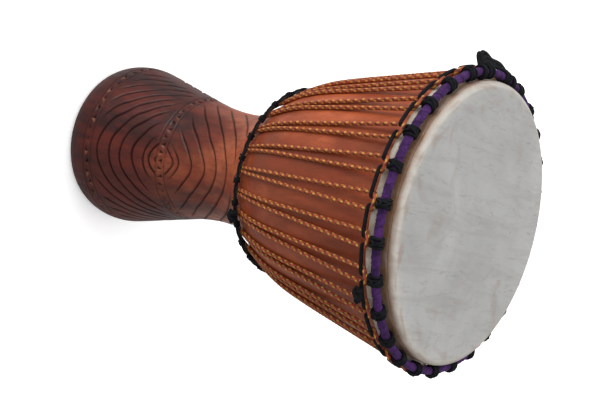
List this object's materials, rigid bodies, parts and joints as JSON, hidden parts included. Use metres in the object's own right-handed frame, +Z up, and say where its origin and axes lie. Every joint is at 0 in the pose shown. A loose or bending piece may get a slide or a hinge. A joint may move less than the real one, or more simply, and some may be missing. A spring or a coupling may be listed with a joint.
{
  "type": "djembe",
  "caption": "Goblet-shaped wooden hand drum with a goatskin head, hoops, braided rope lacing, a carved foot and a cord carrying loop.",
  "frame": {"origin": "centre of the flat annular end of the foot, on the drum's axis", "axes": "+Z up the drum's axis from the foot to the head; -Y is the side that faces the viewer, with one hitch exactly on it"},
  "size_m": [0.387, 0.3737, 0.606],
  "materials": {
    "stained_wood": "satin",
    "goatskin": "matt",
    "steel_rod": "satin",
    "purple_cloth": "matt",
    "black_cloth": "matt",
    "black_cord": "matt",
    "orange_rope": "matt"
  },
  "bodies": {
    "drum": {"shell": "stained_wood", "head_skin": "goatskin", "flesh_hoop": "steel_rod", "crown_hoop": "steel_rod", "crown_hoop_wrap": "purple_cloth", "crown_cord": "black_cord", "crown_cord_knot": "black_cord", "waist_hoop": "steel_rod", "waist_hoop_wrap": "black_cloth", "waist_cord": "black_cord", "waist_cord_knot": "black_cord", "lacing_rope": "orange_rope"},
    "carry_loop": {"carry_loop": "black_cord"}
  },
  "joints": [
    {"name": "carry_loop_swing", "type": "hinge", "parent": "drum", "child": "carry_loop", "pos_m": [-0.17508, -0.0102, 0.5895], "axis": [-0.0581, 0.9983, 0], "range_deg": [-6, 120]}
  ]
}
